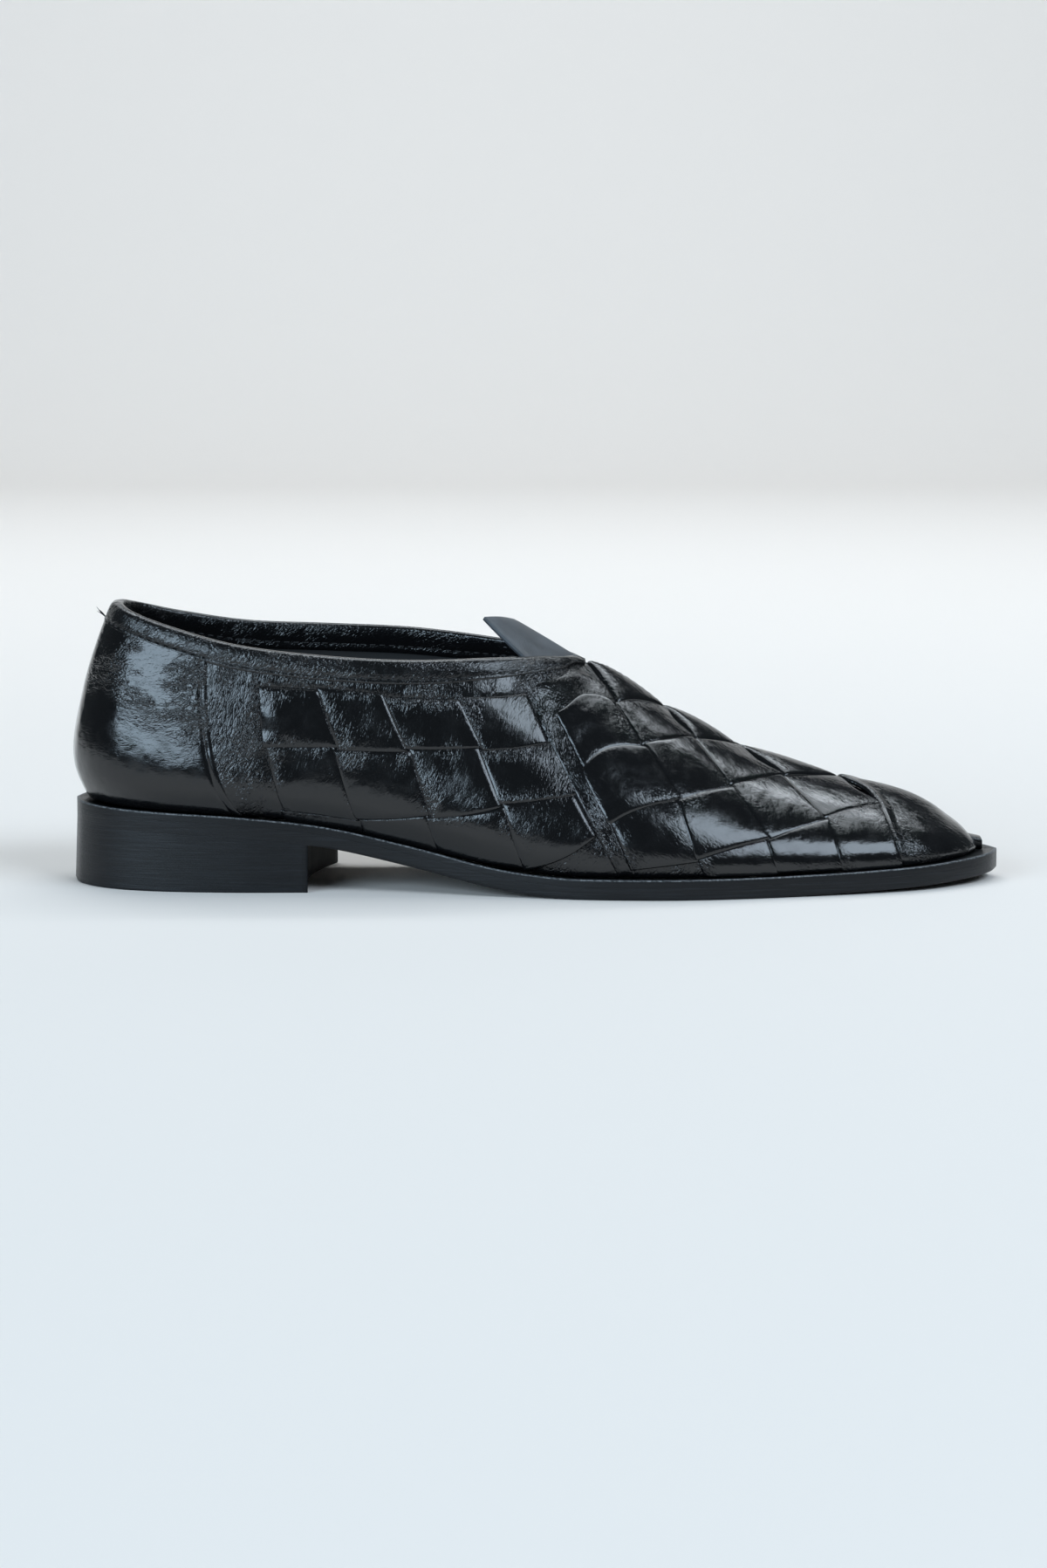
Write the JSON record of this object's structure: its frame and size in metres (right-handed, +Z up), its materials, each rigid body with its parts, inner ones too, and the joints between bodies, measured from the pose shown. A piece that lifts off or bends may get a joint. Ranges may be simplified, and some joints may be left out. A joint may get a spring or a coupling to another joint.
{
  "type": "woven leather slip-on shoe",
  "caption": "Right slip-on shoe with a long pointed toe: woven leather upper open at a V throat, counter, collar band, welted leather sole and low stacked heel.",
  "frame": {"origin": "middle of the shoe's box on the floor that it stands on", "axes": "+X towards the toe, +Y towards the inner side of the foot, +Z up"},
  "size_m": [0.2758, 0.0922, 0.0827],
  "materials": {
    "upper_leather": "glossy crinkled patent-like black leather",
    "trim_leather": "glossy crinkled black leather, edge folded and stitched",
    "lining_leather": "soft satin black leather",
    "sole_leather": "burnished satin black sole leather"
  },
  "bodies": {
    "root": {"outsole": "sole_leather", "welt": "sole_leather", "heel": "sole_leather", "insole": "lining_leather", "upper": "upper_leather", "collar_band": "trim_leather", "counter": "upper_leather"}
  },
  "joints": []
}
